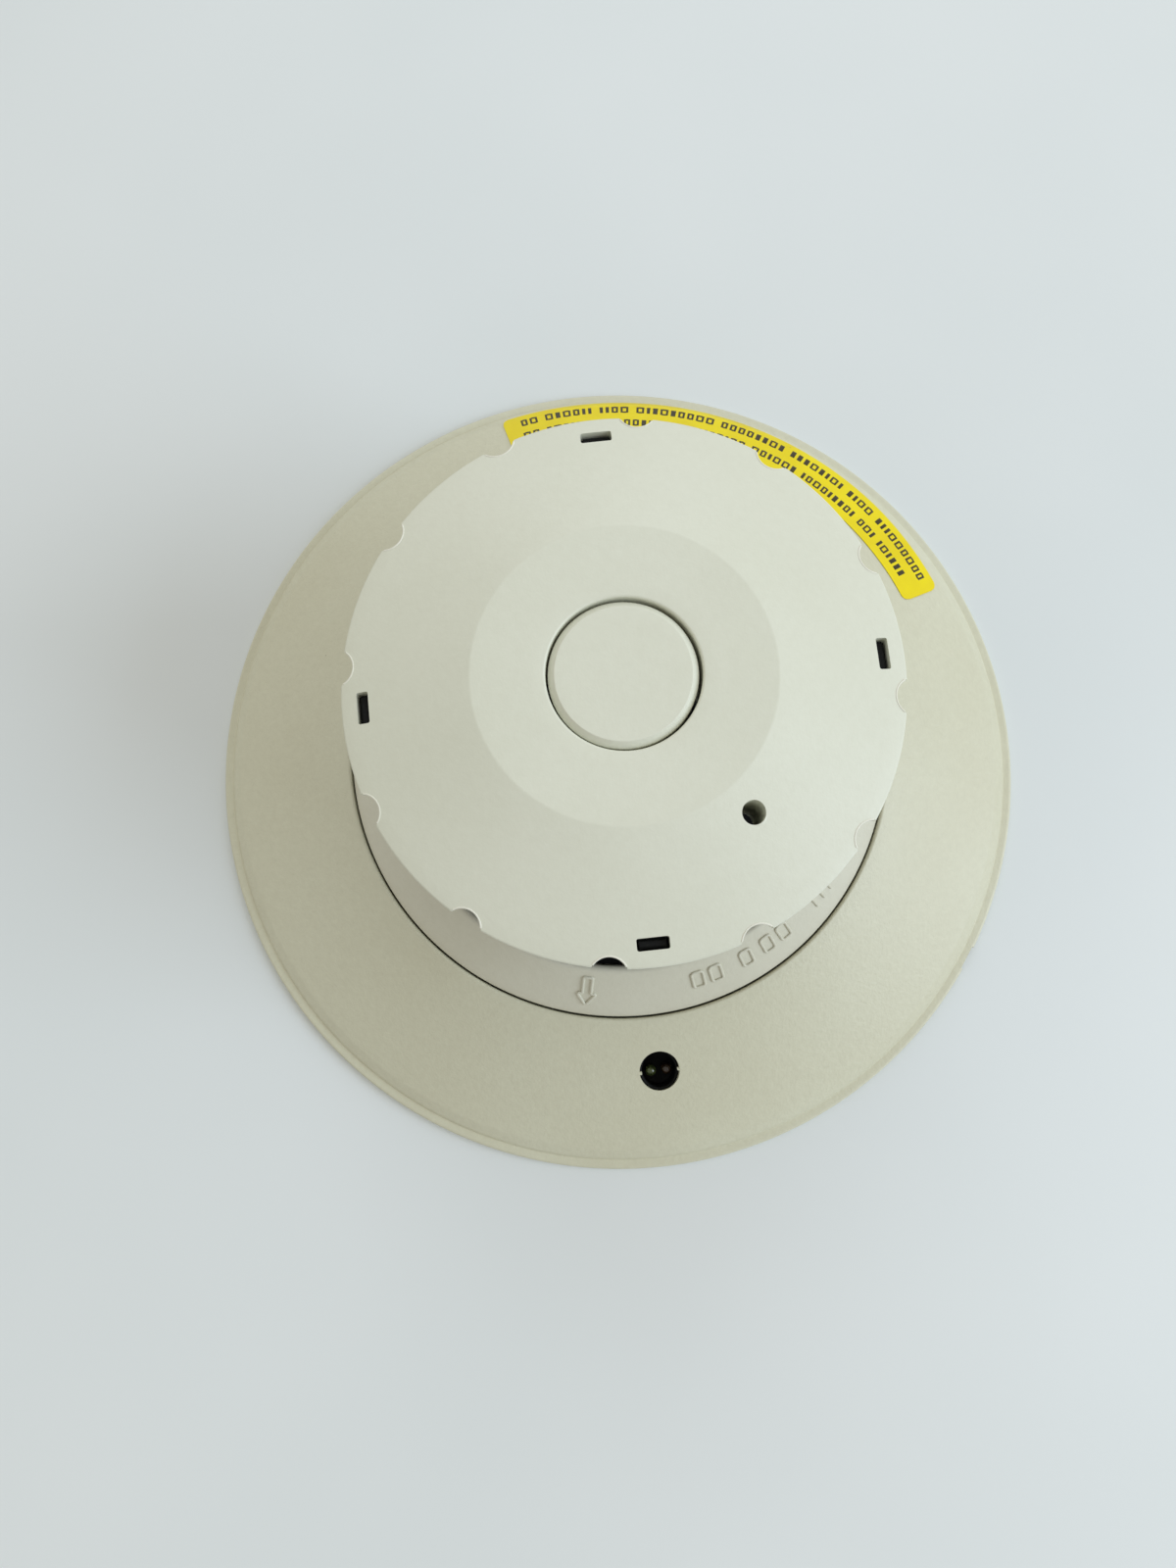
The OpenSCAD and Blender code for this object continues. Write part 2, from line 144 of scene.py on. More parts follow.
def rounded(corners, steps=6):
    """Outline through corners (x, y, radius): each corner becomes an arc tangent to its two sides, the shorter
    side limiting the arc's reach."""
    count = len(corners)
    points = []
    for i, (x, y, radius) in enumerate(corners):
        here = np.array([x, y])
        before = np.array(corners[i - 1][:2]) - here
        after = np.array(corners[(i + 1) % count][:2]) - here
        a, b = before / np.linalg.norm(before), after / np.linalg.norm(after)
        half = math.acos(np.clip(a @ b, -1, 1)) / 2
        if radius <= 0 or half > math.pi / 2 - 0.02:
            points.append(here)
            continue
        reach = min(radius / math.tan(half), 0.49 * np.linalg.norm(before), 0.49 * np.linalg.norm(after))
        radius = reach * math.tan(half)
        middle = here + (a + b) / np.linalg.norm(a + b) * radius / math.sin(half)
        start, end = here + a * reach - middle, here + b * reach - middle
        sweep = math.atan2(start[0] * end[1] - start[1] * end[0], start @ end)
        turn = np.linspace(0, sweep, steps)
        points += [middle + [start[0] * math.cos(t) - start[1] * math.sin(t),
                             start[0] * math.sin(t) + start[1] * math.cos(t)] for t in turn]
    return np.array(points)


def split_long(outline, longest):
    """The closed outline with every side longer than `longest` cut into equal steps."""
    ends = np.roll(outline, -1, axis=0)
    parts = []
    for start, end in zip(outline, ends):
        steps = max(1, math.ceil(np.linalg.norm(end - start) / longest))
        parts.append(start + (end - start) * np.arange(steps)[:, None] / steps)
    return np.concatenate(parts)


def lathe(name, outline, segments=288, smooth=35):
    """Solid of revolution: each outline point (r, z) goes round the Z axis at equal angles, and the rings of
    points are joined by quads into one closed skin."""
    angle = np.linspace(0, TAU, segments, endpoint=False)[:, None]
    r, z = outline[:, 0][None, :], outline[:, 1][None, :]
    points = np.stack([r * np.cos(angle), r * np.sin(angle), z + 0 * angle], -1)
    return piece_from(name, points, grid_faces(segments, len(outline), True, True), smooth)


def prism(name, outline, low, high):
    """The closed (x, y) outline carried straight up from z = low to z = high, with flat ends."""
    count = len(outline)
    points = np.concatenate([np.column_stack([outline, np.full(count, z)]) for z in (low, high)])
    faces = [tuple(f) for f in grid_faces(2, count, False, True)]
    return piece_from(name, points, faces + [tuple(range(count)), tuple(range(count, 2 * count))])


def circle(radius, count=64, x=0.0, y=0.0):
    """Points of a circle."""
    a = np.linspace(0, TAU, count, endpoint=False)
    return np.column_stack([x + radius * np.cos(a), y + radius * np.sin(a)])


def tube(name, path, radius, sides=12, closed=False):
    """A round section carried along a path: at each point the circle lies square to the path's direction."""
    path = np.asarray(path, float)
    ahead = np.roll(path, -1, 0) - np.roll(path, 1, 0)
    if not closed:
        ahead[0], ahead[-1] = path[1] - path[0], path[-1] - path[-2]
    ahead /= np.linalg.norm(ahead, axis=1, keepdims=True)
    up = np.where(np.abs(ahead[:, 2:]) > 0.9, [[1.0, 0, 0]], [[0, 0, 1.0]])
    side = np.cross(ahead, up)
    side /= np.linalg.norm(side, axis=1, keepdims=True)
    over = np.cross(side, ahead)
    a = np.linspace(0, TAU, sides, endpoint=False)[None, :, None]
    points = path[:, None] + radius * (np.cos(a) * side[:, None] + np.sin(a) * over[:, None])
    faces = [tuple(f) for f in grid_faces(len(path), sides, closed, True)]
    if not closed:
        last = (len(path) - 1) * sides
        faces += [tuple(range(sides)), tuple(range(last, last + sides))]
    return piece_from(name, points, faces, 60)


def move_points(piece, transform):
    """Puts the piece's place into its mesh: transform takes and gives an array of points in millimetres."""
    mesh = piece.data
    points = np.empty(len(mesh.vertices) * 3)
    mesh.vertices.foreach_get("co", points)
    moved = transform(points.reshape(-1, 3) / MM) * MM
    mesh.vertices.foreach_set("co", moved.ravel())
    mesh.update()
    return piece


def turned(points, degrees):
    """Points turned about the Z axis."""
    c, s = math.cos(math.radians(degrees)), math.sin(math.radians(degrees))
    return points @ np.array([[c, s, 0], [-s, c, 0], [0, 0, 1.0]])


def leaned(points, degrees):
    """Points turned about the Y axis, so that +Z leans towards +X."""
    c, s = math.cos(math.radians(degrees)), math.sin(math.radians(degrees))
    return points @ np.array([[c, 0, -s], [0, 1.0, 0], [s, 0, c]])


def at_lamp(points):
    """From the lamp window's own upright axis to the detector's frame."""
    return turned(points + [LAMP_R, 0, LAMP_Z], LAMP_ANGLE)


def join(name, pieces):
    """One object from several that touch or stand in each other."""
    with bpy.context.temp_override(active_object=pieces[0], selected_editable_objects=pieces):
        bpy.ops.object.join()
    pieces[0].name = name
    pieces[0].data.name = name
    return pieces[0]


def carve(piece, cutters):
    """Cuts the cutters' shapes out of the piece, and removes them."""
    for cutter in cutters:
        cut = piece.modifiers.new("cut", "BOOLEAN")
        cut.operation = "DIFFERENCE"
        cut.solver = "EXACT"
        cut.object = cutter
    bake_modifiers(piece)
    for cutter in cutters:
        bpy.data.objects.remove(cutter)
    return piece


def bake_modifiers(piece):
    """Replaces the mesh by what its modifiers make of it."""
    bpy.context.view_layer.update()
    done = bpy.data.meshes.new_from_object(piece.evaluated_get(bpy.context.evaluated_depsgraph_get()))
    piece.modifiers.clear()
    piece.data = done


def soften(piece, width=0.15, angle=40, segments=2):
    """Rounds the edges sharper than `angle`, as a mould leaves them."""
    bevel = piece.modifiers.new("edge round", "BEVEL")
    bevel.width = width * MM
    bevel.segments = segments
    bevel.limit_method = "ANGLE"
    bevel.angle_limit = math.radians(angle)
    bevel.harden_normals = True
    piece.data.shade_smooth()
    return piece


# ---------------------------------------------------------------- materials

def linear(hex_colour):
    """An sRGB hex colour as linear red, green, blue and full alpha."""
    parts = [int(hex_colour[i:i + 2], 16) / 255 for i in (1, 3, 5)]
    return tuple(c / 12.92 if c < 0.04045 else ((c + 0.055) / 1.055) ** 2.4 for c in parts) + (1.0,)


def add(tree, kind, settings=None, **links):
    """Adds a node; settings are its properties, and each link is a socket or a value for the input it names."""
    made = tree.nodes.new(kind)
    for name, value in (settings or {}).items():
        setattr(made, name, value)
    for name, value in links.items():
        key = int(name[1:]) if name[0] == "i" and name[1:].isdigit() else name.replace("_", " ")
        if isinstance(value, bpy.types.NodeSocket):
            tree.links.new(value, made.inputs[key])
        else:
            made.inputs[key].default_value = value
    return made


def new_material(name, roughness, metallic=0.0, ior=None, **sockets):
    """A material with one Principled shader, its even values set on the shader's own sockets."""
    made = bpy.data.materials.new(name)
    made.use_nodes = True
    tree = made.node_tree
    shader = tree.nodes["Principled BSDF"]
    shader.inputs["Roughness"].default_value = roughness
    shader.inputs["Metallic"].default_value = metallic
    if ior:
        shader.inputs["IOR"].default_value = ior
    for key, value in sockets.items():
        shader.inputs[key.replace("_", " ")].default_value = value
    place = add(tree, "ShaderNodeTexCoord").outputs["Object"]
    return made, tree, shader, place


def noise(tree, place, size_mm, detail=2.0, roughness=0.5):
    """Cloudy noise whose lumps are about size_mm across."""
    return add(tree, "ShaderNodeTexNoise", Vector=place, Scale=1 / (size_mm * MM), Detail=detail,
               Roughness=roughness).outputs["Fac"]


def blend_colour(tree, amount, low, high, spread=(0.35, 0.65)):
    """Colour between low and high as the amount goes across the spread."""
    ramp = add(tree, "ShaderNodeValToRGB", Fac=amount)
    for stop, where, colour in zip(ramp.color_ramp.elements, spread, (low, high)):
        stop.position = where
        stop.color = linear(colour)
    return ramp.outputs["Color"]


def over(tree, base, top, amount):
    """Lays the top colour over the base by the amount."""
    mix = add(tree, "ShaderNodeMix", {"data_type": "RGBA"}, Factor=amount)
    tree.links.new(base, mix.inputs[6])
    if isinstance(top, str):
        mix.inputs[7].default_value = linear(top)
    else:
        tree.links.new(top, mix.inputs[7])
    return mix.outputs[2]


def maths(tree, operation, a, b=0.0, c=0.0):
    """One sum on numbers."""
    return add(tree, "ShaderNodeMath", {"operation": operation}, i0=a, i1=b, i2=c).outputs[0]


def specks(tree, place, spacing_mm, radius_mm, share):
    """One where a small speck lies: each cell of the spacing holds a dot, and only a share of the cells keep it."""
    cell = add(tree, "ShaderNodeTexVoronoi", Vector=place, Scale=1 / (spacing_mm * MM))
    dot = maths(tree, "LESS_THAN", cell.outputs["Distance"], radius_mm / spacing_mm)
    kept = add(tree, "ShaderNodeSeparateColor", Color=cell.outputs["Color"]).outputs["Red"]
    return maths(tree, "MULTIPLY", dot, maths(tree, "LESS_THAN", kept, share))


def relief(tree, shader, height, depth_mm, strength=1.0):
    """Bump of the given height pattern, depth_mm from valley to top."""
    bump = add(tree, "ShaderNodeBump", Height=height, Distance=depth_mm * MM, Strength=strength)
    tree.links.new(bump.outputs["Normal"], shader.inputs["Normal"])


def moulded_abs(name, pale, aged, roughness, grain_depth=0.035, mottle=0.22):
    """Moulded ABS: a spark-eroded mould leaves a fine even grain that scatters highlights, age yellows it in soft
    patches and a finer mottle, and handling leaves a few small dark specks and faint rubbed marks. The grain is
    0.3 mm, drawn at 0.8 mm to show."""
    made, tree, shader, place = new_material(name, roughness, ior=1.53)
    colour = blend_colour(tree, noise(tree, place, 45, 3), pale, aged, (0.3, 0.75))
    colour = over(tree, colour, "#a9a48c", maths(tree, "MULTIPLY", noise(tree, place, 1.3, 3, 0.6), mottle))
    marks = specks(tree, place, 11, 0.17, 0.2)
    colour = over(tree, colour, "#77705f", maths(tree, "MULTIPLY", marks, 0.8))
    tree.links.new(colour, shader.inputs["Base Color"])
    rubbed = maths(tree, "MULTIPLY_ADD", noise(tree, place, 18, 3), 0.12, roughness - 0.06)
    tree.links.new(rubbed, shader.inputs["Roughness"])
    relief(tree, shader, noise(tree, place, 0.8, 3, 0.6), grain_depth)
    return made


def black_moulding(name="black matt ABS"):
    """Black ABS with a coarse matt mould grain, so that no light is thrown about in the chamber. On the inlet
    cage the same black is partly painted shade for the dark inlet and slots.
    """
    made, tree, shader, place = new_material(name, 0.7, ior=1.53, Specular_IOR_Level=0.25)
    colour = blend_colour(tree, noise(tree, place, 6, 3), "#0a0b0c", "#131416")
    tree.links.new(colour, shader.inputs["Base Color"])
    relief(tree, shader, noise(tree, place, 0.6, 2), 0.03)
    return made


def plated_steel(name, pale, dark, roughness, grain_mm):
    """Steel strip or wire with a thin plating: bright, with a soft cloudy tarnish and fine draw lines."""
    made, tree, shader, place = new_material(name, roughness, metallic=1.0)
    stretched = add(tree, "ShaderNodeMapping", Vector=place, Scale=(1, 1, 0.12)).outputs["Vector"]
    lines = noise(tree, stretched, grain_mm, 3)
    colour = blend_colour(tree, noise(tree, place, 4, 4), dark, pale, (0.3, 0.6))
    tree.links.new(colour, shader.inputs["Base Color"])
    uneven = maths(tree, "MULTIPLY_ADD", lines, 0.2, roughness - 0.1)
    tree.links.new(uneven, shader.inputs["Roughness"])
    relief(tree, shader, lines, 0.01)
    return made


def solder_mask(name="green solder mask on glass laminate"):
    """Glass laminate under glossy green lacquer; copper tracks show as a lighter raised pattern on a grid."""
    made, tree, shader, place = new_material(name, 0.28, ior=1.52)
    tracks = add(tree, "ShaderNodeTexBrick", Vector=place, Scale=1 / (4 * MM), Mortar_Size=0.06,
                 Color1=(0, 0, 0, 1), Color2=(0.25, 0.25, 0.25, 1), Mortar=(1, 1, 1, 1)).outputs["Color"]
    colour = over(tree, blend_colour(tree, noise(tree, place, 2, 2), "#0b3a1e", "#0f4725"), "#1c6a39", tracks)
    tree.links.new(colour, shader.inputs["Base Color"])
    relief(tree, shader, tracks, 0.03)
    return made


def moulded_epoxy(name="black moulded epoxy"):
    """Chip and coil bodies: black filled epoxy with a dusty satin face."""
    made, tree, shader, place = new_material(name, 0.5, ior=1.55)
    colour = blend_colour(tree, noise(tree, place, 0.8, 3), "#121213", "#222224")
    tree.links.new(colour, shader.inputs["Base Color"])
    relief(tree, shader, noise(tree, place, 0.3, 2), 0.01)
    return made


def tinted_epoxy(name, clear, deep, roughness=0.08):
    """Lamp bodies cast in tinted epoxy: glossy, seen a little way through, milkier towards the middle."""
    made, tree, shader, place = new_material(name, roughness, ior=1.55, Transmission_Weight=0.55,
                                             Coat_Weight=0.3, Coat_Roughness=0.05)
    colour = blend_colour(tree, noise(tree, place, 0.9, 2), deep, clear)
    tree.links.new(colour, shader.inputs["Base Color"])
    relief(tree, shader, noise(tree, place, 0.5, 2), 0.004)
    return made


def vinyl_film(name="yellow vinyl film"):
    """Printed vinyl label: smooth satin yellow film with faint press marks of the glue."""
    made, tree, shader, place = new_material(name, 0.42, ior=1.49, Specular_IOR_Level=0.35)
    colour = blend_colour(tree, noise(tree, place, 9, 3), "#ecd800", "#e3cc00")
    colour = over(tree, colour, "#8f7d12", maths(tree, "MULTIPLY", specks(tree, place, 7, 0.14, 0.2), 0.7))
    tree.links.new(colour, shader.inputs["Base Color"])
    relief(tree, shader, noise(tree, place, 3.2, 3), 0.02)
    return made


def print_ink(name="brown black print ink"):
    """Screen-printed ink: brown black, a little uneven where the film shows through."""
    made, tree, shader, place = new_material(name, 0.45, ior=1.5)
    colour = blend_colour(tree, noise(tree, place, 0.5, 2), "#2e2608", "#43380b", (0.4, 0.8))
    tree.links.new(colour, shader.inputs["Base Color"])
    relief(tree, shader, noise(tree, place, 0.4, 2), 0.008)
    return made


def wire_cloth(name="blackened stainless wire"):
    """Woven stainless insect cloth, chemically blackened: dark, with bare steel glinting on the crowns. Its
    darkness is partly painted shade, standing in for the deep shade inside the inlet.
    """
    made, tree, shader, place = new_material(name, 0.42, metallic=1.0)
    colour = blend_colour(tree, noise(tree, place, 0.7, 2), "#2a2b2c", "#5d5e60", (0.45, 0.8))
    tree.links.new(colour, shader.inputs["Base Color"])
    relief(tree, shader, noise(tree, place, 0.3, 2), 0.01)
    return made


def wire_insulation(name="red PVC insulation"):
    """Soft extruded PVC: satin, with the slight waves of the die along it."""
    made, tree, shader, place = new_material(name, 0.4, ior=1.53)
    colour = blend_colour(tree, noise(tree, place, 1.5, 2), "#9a1712", "#b4231b")
    tree.links.new(colour, shader.inputs["Base Color"])
    relief(tree, shader, noise(tree, place, 0.6, 2), 0.01)
    return made


IVORY = moulded_abs("ivory moulded ABS", "#dddece", "#d5d6c4", 0.5, 0.03, 0.14)
CREAM = moulded_abs("cream aged ABS", "#d5d4bd", "#cdcab1", 0.48, 0.09, 0.3)
SHOULDER = moulded_abs("shoulder aged ABS", "#d6d4c3", "#cecbb8", 0.5, 0.05, 0.22)
# The flash is a lighter ivory than the cap: a painted highlight along the notch arcs, on top of the bead's own
# shape.
FLASH_HIGHLIGHT = moulded_abs("ABS flash with painted highlight", "#eceade", "#dedccb", 0.55, 0.01)
BLACK = black_moulding()
ZINC = plated_steel("zinc plated steel", "#c6c8ca", "#9a9c9f", 0.34, 0.4)
BRONZE = plated_steel("phosphor bronze strip", "#c9a366", "#a37c45", 0.3, 0.4)
TIN = plated_steel("tinned steel sheet", "#c9c9c4", "#a9a9a4", 0.3, 0.6)
SPRING = plated_steel("drawn spring steel wire", "#9ea0a3", "#74767a", 0.32, 0.3)
MASK = solder_mask()
EPOXY = moulded_epoxy()
WIRE = wire_cloth()
FILM = vinyl_film()
INK = print_ink()
PVC = wire_insulation()
GREEN_LENS = tinted_epoxy("green tinted lamp epoxy", "#6d7a45", "#333d1d")
RED_LENS = tinted_epoxy("red tinted lamp epoxy", "#4e3a2c", "#241812")
DARK_LENS = tinted_epoxy("infrared filter epoxy", "#2c2033", "#150f1c", 0.12)


def dress(piece, material, body, slot, *nodes):
    """Gives a new piece its material and body, and hides the CAD nodes that it stands for; the slot is not used."""
    piece.data.materials.clear()
    piece.data.materials.append(material)
    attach(piece, body)
    if nodes:
        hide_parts(*nodes)
    return piece


# ---------------------------------------------------------------- head

def cone_z(r):
    """Height of the flange at radius r: a straight cone, then a steeper slope that rolls over to the rim."""
    return SEAM_Z - (r - CONE_TOP_R) * CONE_SLOPE - np.maximum(r - ROLL_R, 0) * (0.85 - CONE_SLOPE)


def flange():
    """The wide cone: collar at the seam, cone, rolled lip, a small flat ledge and the standing rim, hollow below;
    the lamp window and the pry notch are cut through it. Two nibs stand in the window's edge."""
    outline = rounded([
        (SEAM_R, COLLAR_FOOT_Z, 0), (SEAM_R, SEAM_Z + 0.14, 0.4), (ROLL_R, cone_z(ROLL_R), 3),
        (74.05, cone_z(74.05), 0.8), (CREASE_R, CREASE_Z, 0.15), (FLANGE_R, CREASE_Z, 0.6), (FLANGE_R, FOOT_Z, 0.2),
        (RIM_IN_R, FOOT_Z, 0.2), (RIM_IN_R, 1.0, 0.3), (71.6, 1.2, 0.6), (50.4, cone_z(50.4) - 2.3, 0.8),
        (50.4, COLLAR_FOOT_Z, 0)])
    shell = lathe("flange_shell", split_long(outline, 2.5), 320)
    window = move_points(prism("window", circle(WINDOW_R, 96), -7, 8), at_lamp)
    notch = prism("notch", np.array([[75.0, -2.65], [79, -2.65], [79, 2.65], [75.0, 2.65]]), -1, 1.3)
    move_points(notch, lambda p: turned(p, PRY_ANGLE))
    slit = prism("slit", np.array([[75.75, -2.3], [79, -2.3], [79, 2.3], [75.75, 2.3]]), -1, 4)
    move_points(slit, lambda p: turned(p, PRY_ANGLE))
    carve(shell, [window, notch, slit])
    shelf = lathe("shelf", rounded([(38, COLLAR_FOOT_Z, 0.1), (38, SHELF_TOP_Z, 0.1), (50, SHELF_TOP_Z, 0),
                                    (50, COLLAR_FOOT_Z, 0)], 3), 160)
    nibs = [prism("nib", rounded([(-0.28, 3.15 * side, 0.12), (0.28, 3.15 * side, 0.12), (0.28, 3.9 * side, 0),
                                  (-0.28, 3.9 * side, 0)], 3), 1.0, 1.9) for side in (-1, 1)]
    nibs = [move_points(nib, at_lamp) for nib in nibs]
    return soften(join("flange_shell", [shell, shelf] + nibs), 0.12)


def skirt_ribs():
    """Thin upright ribs under the flange, one at every sixteenth of the round except beside the lamp window; each
    follows the cone's underside from the collar to the rim."""
    ribs = []
    for k in range(RIBS):
        if k == RIB_AT_LAMP:
            continue
        side = np.array([[55.5, cone_z(55.5) - 2.2], [72.0, cone_z(72.0) - 2.1], [72.0, 1.5], [60.0, 3.2],
                         [55.5, 7.9]])
        rib = prism(f"rib{k}", side, -0.5, 0.5)
        place = 360 / RIBS * (k + 0.5)
        move_points(rib, lambda p: turned(np.column_stack([p[:, 0], -p[:, 2], p[:, 1]]), place))
        ribs.append(rib)
    return soften(join("flange_ribs", ribs), 0.1)


def label_band(v, angle):
    """Radius across the label at an angle: its outer edge bows in slightly towards both ends."""
    outer = LABEL_OUT_R - LABEL_BOW * (angle - LABEL_MIDDLE) ** 2
    return outer - LABEL_WIDTH * v


def label_film():
    """The label as a thin sheet on the cone: u runs along it and v across, and both long edges close in on a
    quarter circle near the ends so that the corners are round."""
    start, end, corner, thick = 28.0, 108.4, 1.5, 0.12
    u = np.concatenate([np.linspace(0, 0.022, 9), np.linspace(0.03, 0.97, 110), np.linspace(0.978, 1, 9)])
    v = np.linspace(0, 1, 9)
    angle = start + (end - start) * u
    along = np.minimum(u, 1 - u) * math.radians(end - start) * 69
    reach = np.clip(corner - along, 0, corner)
    pinch = (corner - np.sqrt(corner ** 2 - reach ** 2)) / 8.6
    across = pinch[:, None] + v[None, :] * (1 - 2 * pinch[:, None])
    r = label_band(across, angle[:, None])
    a = np.radians(angle)[:, None]
    layers = [np.stack([r * np.cos(a), r * np.sin(a), cone_z(r) + lift], -1) for lift in (thick + 0.03, 0.03)]
    rows, columns = len(u), len(v)
    points = np.concatenate([layer.reshape(-1, 3) for layer in layers])
    faces = [tuple(f) for f in grid_faces(rows, columns)]
    faces += [tuple(f[::-1]) for f in grid_faces(rows, columns, first=rows * columns)]
    top = np.arange(rows * columns).reshape(rows, columns)
    rim = np.concatenate([top[0], top[1:, -1], top[-1, -2::-1], top[-2:0:-1, 0]])
    faces += [(a0, b0, b0 + rows * columns, a0 + rows * columns) for a0, b0 in zip(rim, np.roll(rim, -1))]
    return piece_from("label_film", points, faces, 50)


def label_print():
    """Two rows of plain frames and solid blocks, set in groups, where a label carries print. Each stroke is a low
    pad: a grid in angle and radius on the cone, its edge sunk into the film."""
    random = np.random.default_rng(7)
    strokes = []
    tall, line = 0.105, 0.05
    for middle, first, last in ((0.27, 30.4, 106.8), (0.69, 32.4, 106.8)):
        angle = first
        while angle < last:
            for _ in range(random.integers(3, 10)):
                width = random.choice([0.75, 1.1, 1.35, 1.6]) / 1.22
                if angle + width > last:
                    break
                if width < 1:
                    strokes.append((middle - tall, middle + tall, angle, angle + width))
                else:
                    strokes += [(middle - tall, middle + tall, angle, angle + 0.4),
                                (middle - tall, middle + tall, angle + width - 0.4, angle + width),
                                (middle - tall, middle - tall + line, angle + 0.3, angle + width - 0.3),
                                (middle + tall - line, middle + tall, angle + 0.3, angle + width - 0.3)]
                angle += width + 0.36
            angle += 0.9
            if angle + 1 > last:
                break
    points, faces = [], []
    for k, (v0, v1, a0, a1) in enumerate(strokes):
        angle = a0 + (a1 - a0) * np.array([0, 0.12, 0.88, 1])
        v = v0 + (v1 - v0) * np.array([0, 0.06, 0.94, 1])
        r = label_band(v[None, :], angle[:, None])
        edge = np.zeros((4, 4))
        edge[1:-1, 1:-1] = 1
        a = np.radians(angle)[:, None]
        faces += [tuple(f) for f in grid_faces(4, 4, first=16 * k)]
        points.append(np.stack([r * np.cos(a), r * np.sin(a), cone_z(r) + 0.1 + 0.08 * edge], -1).reshape(-1, 3))
    piece = piece_from("label_print", np.concatenate(points), faces, 60)
    backing = piece.modifiers.new("ink body", "SOLIDIFY")
    backing.thickness = 0.02 * MM
    backing.offset = -1
    return piece


def lamp_cup():
    """Bezel behind the window: a straight upright cup with a floor that holds the two lamps."""
    cup = lathe("lamp_cup", rounded([(0.01, -6.2, 0), (3.5, -6.2, 0.1), (3.5, -0.6, 0.2), (3.05, -0.6, 0.2),
                                (2.9, -5.2, 0.3), (0.01, -5.2, 0)], 4), 96)
    return move_points(cup, at_lamp)


def lamp(name, y):
    """A 2 mm lamp: a straight barrel with a collar at its foot and a half-ball dome."""
    dome = [(math.cos(t), -1.7 + math.sin(t)) for t in np.linspace(0, math.pi / 2 - 0.01, 12)]
    outline = np.array([(0.005, -5.9), (1.02, -5.9), (1.02, -5.2), (0.98, -5.1)] + dome)
    shape = lathe(name, np.vstack([outline, [(0.005, -0.7)]]), 48, 50)
    return move_points(shape, lambda p: at_lamp(p + [0, y, 0]))


# ---------------------------------------------------------------- cover

def shoulder():
    """Sloping ring between the seam and the smoke inlet, its skirt, its inner wall and the ledge at the wall's
    foot that carries the cage."""
    foot_z = SHOULDER_FOOT[1] - (COVER_R - SHOULDER_FOOT[0]) * SHOULDER_SLOPE
    crest_z = SHOULDER_TOP[1] + (SHOULDER_TOP[0] - INLET_R) * SHOULDER_SLOPE
    outline = rounded([
        (COVER_R, 12, 0.15), (COVER_R, foot_z, 0.5), (INLET_R, crest_z, 0.9), (INLET_R, LEDGE_Z, 0.1),
        (38, LEDGE_Z, 0.1), (38, 14.1, 0.15), (40.6, 14.1, 0.2), (40.6, 20.6, 0.4), (46.4, 15.8, 0.4),
        (46.4, 12, 0.15)])
    return lathe("shoulder_ring", split_long(outline, 2.0), 320)


def posts():
    """Inlet cage: a floor ring, upright posts that are long bars with rounded faces, the ring that ties their
    tops, and four fingers whose profiles end in a barb inside the cap's slots. Its black is partly the moulding's
    own colour and partly painted shade: the black floor ring and fingers stand in for the deep shade in the inlet
    and the slots."""
    parts = [lathe("inlet_posts", rounded([(32.5, LEDGE_Z, 0.15), (32.5, GUTTER_Z, 0.3), (39.1, GUTTER_Z, 0.15),
                                           (39.1, LEDGE_Z, 0.15)], 4), 240),
             lathe("ring", rounded([(35.8, 57.8, 0.2), (35.8, RING_TOP_Z, 0.2), (37.9, RING_TOP_Z, 0.2),
                                    (37.9, 57.8, 0.2)], 4), 240)]
    section = rounded([(POST_R[0], -1.1, 0.3), (POST_R[1], -1.1, 0.55), (POST_R[1], 1.1, 0.55),
                       (POST_R[0], 1.1, 0.3)], 5)
    for k in range(POSTS):
        bar = prism(f"post{k}", section, GUTTER_Z - 0.3, RING_TOP_Z - 0.6)
        place = 6 + 360 / POSTS * (k + 0.5)
        parts.append(move_points(bar, lambda p: turned(p, place)))
    side = rounded([(35.95, 58.6, 0), (36.75, 58.6, 0), (36.75, 60.9, 0.1), (37.05, 60.95, 0.1),
                    (36.7, 61.3, 0.15), (35.95, 61.3, 0.2)], 3)
    for place in SLOT_ANGLES:
        finger = prism("finger", side, -1.85, 1.85)
        parts.append(move_points(finger, lambda p: turned(np.column_stack([p[:, 0], -p[:, 2], p[:, 1]]), place)))
    return join("inlet_posts", parts)


def on_shoulder(points, angle, start_r):
    """From a flat sketch (x outwards down the slope, y along it, z off the surface) to the shoulder's cone."""
    lean = math.degrees(math.atan(SHOULDER_SLOPE))
    top_z = SHOULDER_TOP[1] - (start_r - SHOULDER_TOP[0]) * SHOULDER_SLOPE
    return turned(leaned(points, lean) + [start_r, 0, top_z], angle)


def arrow():
    """Moulded arrow drawn by its raised outline: a round bead carried along the arrow's edge, half sunk."""
    corners = [(0, -0.75, 0.15), (3.5, -0.75, 0.15), (3.5, -1.65, 0.2), (6.1, 0, 0.25), (3.5, 1.65, 0.2),
               (3.5, 0.75, 0.15), (0, 0.75, 0.15)]
    flat = split_long(rounded(corners, 4), 0.4)
    path = np.column_stack([flat, np.full(len(flat), BEAD_LIFT)])
    bead = tube("direction_arrow_bead", path, 0.28, 10, closed=True)
    return move_points(bead, lambda p: on_shoulder(p, ARROW_ANGLE, 41.6))


